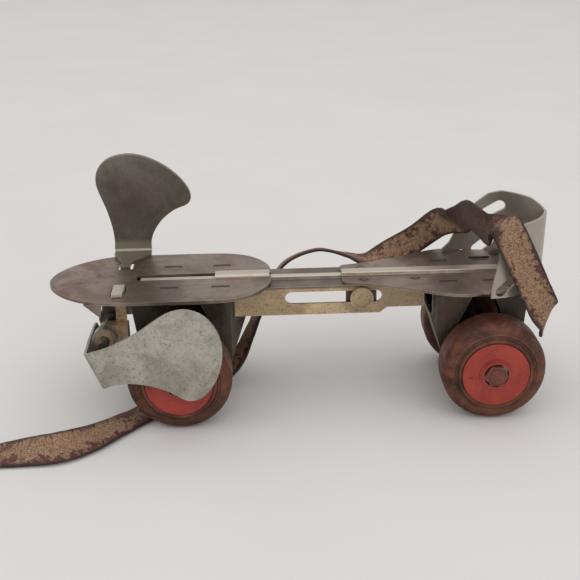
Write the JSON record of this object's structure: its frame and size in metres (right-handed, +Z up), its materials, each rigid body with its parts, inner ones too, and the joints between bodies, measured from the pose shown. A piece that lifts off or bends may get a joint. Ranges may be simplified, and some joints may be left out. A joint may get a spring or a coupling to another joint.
{
  "type": "clamp-on roller skate",
  "caption": "Clamp-on steel roller skate with adjustable length, key-operated toe clips, slotted heel cup, leather ankle strap and ball-bearing steel wheels.",
  "frame": {"origin": "on the ground, on the centre line and midway between the two axles", "axes": "+X along the skate towards the heel, +Y to the far side (the side of the toe clip that stands up), +Z up from the ground"},
  "size_m": [0.295, 0.1145, 0.1214],
  "materials": {
    "sole_steel": "worn grey-brown steel, satin",
    "hanger_steel": "dark worn steel",
    "patina_steel": "yellow-olive patina, satin",
    "fastener_steel": "dull steel",
    "clip_steel": "dark nickel, worn",
    "near_clip_steel": "pale speckled nickel",
    "rusty_steel": "rust-brown",
    "red_paint": "worn red paint",
    "bearing_steel": "dull",
    "axle_steel": "dark",
    "rusty_nuts": "rusty",
    "strap_leather": "tan flaking leather"
  },
  "bodies": {
    "front_frame": {"front_sole_plate": "sole_steel", "front_hanger": "hanger_steel", "length_guide": "hanger_steel", "length_bolt": "patina_steel", "guide_rivets": "fastener_steel", "front_axle": "rusty_nuts", "front_axle_sleeve": "axle_steel", "front_axle_spacers": "axle_steel", "front_bearing_cones": "bearing_steel", "front_axle_nuts": "rusty_nuts", "clamp_bracket": "hanger_steel", "bracket_rivets": "fastener_steel", "strap_tail": "strap_leather"},
    "heel_frame": {"extension_bar": "patina_steel", "heel_plate": "sole_steel", "heel_hanger": "hanger_steel", "heel_cup": "clip_steel", "cup_rivets": "fastener_steel", "bar_rivets": "fastener_steel", "heel_axle": "rusty_nuts", "heel_axle_sleeve": "axle_steel", "heel_axle_spacers": "axle_steel", "heel_bearing_cones": "bearing_steel", "heel_axle_nuts": "rusty_nuts", "strap_heel": "strap_leather"},
    "clamp_screw": {"clamp_screw": "fastener_steel"},
    "far_clamp": {"far_clamp_nut": "patina_steel", "far_toe_clip": "clip_steel"},
    "near_clamp": {"near_clamp_nut": "patina_steel"},
    "near_clip": {"near_toe_clip": "near_clip_steel"},
    "length_nut": {"length_nut": "fastener_steel"},
    "front_near_wheel": {"front_near_wheel_shell": "rusty_steel", "front_near_wheel_disc": "red_paint", "front_near_wheel_hub": "bearing_steel", "front_near_wheel_balls": "bearing_steel"},
    "front_far_wheel": {"front_far_wheel_shell": "rusty_steel", "front_far_wheel_disc": "red_paint", "front_far_wheel_hub": "bearing_steel", "front_far_wheel_balls": "bearing_steel"},
    "heel_near_wheel": {"heel_near_wheel_shell": "rusty_steel", "heel_near_wheel_disc": "red_paint", "heel_near_wheel_hub": "bearing_steel", "heel_near_wheel_balls": "bearing_steel"},
    "heel_far_wheel": {"heel_far_wheel_shell": "rusty_steel", "heel_far_wheel_disc": "red_paint", "heel_far_wheel_hub": "bearing_steel", "heel_far_wheel_balls": "bearing_steel"}
  },
  "joints": [
    {"name": "length_slide", "type": "slide", "parent": "front_frame", "child": "heel_frame", "axis": [1, 0, 0], "range_m": [0, 0.033]},
    {"name": "clamp_screw_turn", "type": "hinge", "parent": "front_frame", "child": "clamp_screw", "pos_m": [-0.11, 0, 0.0434], "axis": [0, 1, 0], "range_deg": [0, 1440]},
    {"name": "far_clip_slide", "type": "slide", "parent": "front_frame", "child": "far_clamp", "axis": [0, 1, 0], "range_m": [0, 0.008]},
    {"name": "near_clip_slide", "type": "slide", "parent": "front_frame", "child": "near_clamp", "axis": [0, -1, 0], "range_m": [0, 0.008]},
    {"name": "near_clip_swing", "type": "hinge", "parent": "near_clamp", "child": "near_clip", "pos_m": [-0.11, -0.025, 0.0434], "axis": [0, 1, 0], "range_deg": [-68, 10]},
    {"name": "length_nut_turn", "type": "hinge", "parent": "front_frame", "child": "length_nut", "pos_m": [0.0135, -0.008, 0.0554], "axis": [0, 1, 0], "continuous": true},
    {"name": "front_near_wheel_spin", "type": "hinge", "parent": "front_frame", "child": "front_near_wheel", "pos_m": [-0.075, -0.0292, 0.025], "axis": [0, 1, 0], "continuous": true},
    {"name": "front_far_wheel_spin", "type": "hinge", "parent": "front_frame", "child": "front_far_wheel", "pos_m": [-0.075, 0.0292, 0.025], "axis": [0, 1, 0], "continuous": true},
    {"name": "heel_near_wheel_spin", "type": "hinge", "parent": "heel_frame", "child": "heel_near_wheel", "pos_m": [0.075, -0.0292, 0.025], "axis": [0, 1, 0], "continuous": true},
    {"name": "heel_far_wheel_spin", "type": "hinge", "parent": "heel_frame", "child": "heel_far_wheel", "pos_m": [0.075, 0.0292, 0.025], "axis": [0, 1, 0], "continuous": true}
  ],
  "couplings": [
    {"joint": "clamp_screw_turn", "follows": "far_clip_slide", "rad_per_m": 3141.6},
    {"joint": "near_clip_slide", "follows": "far_clip_slide", "ratio": 1}
  ]
}
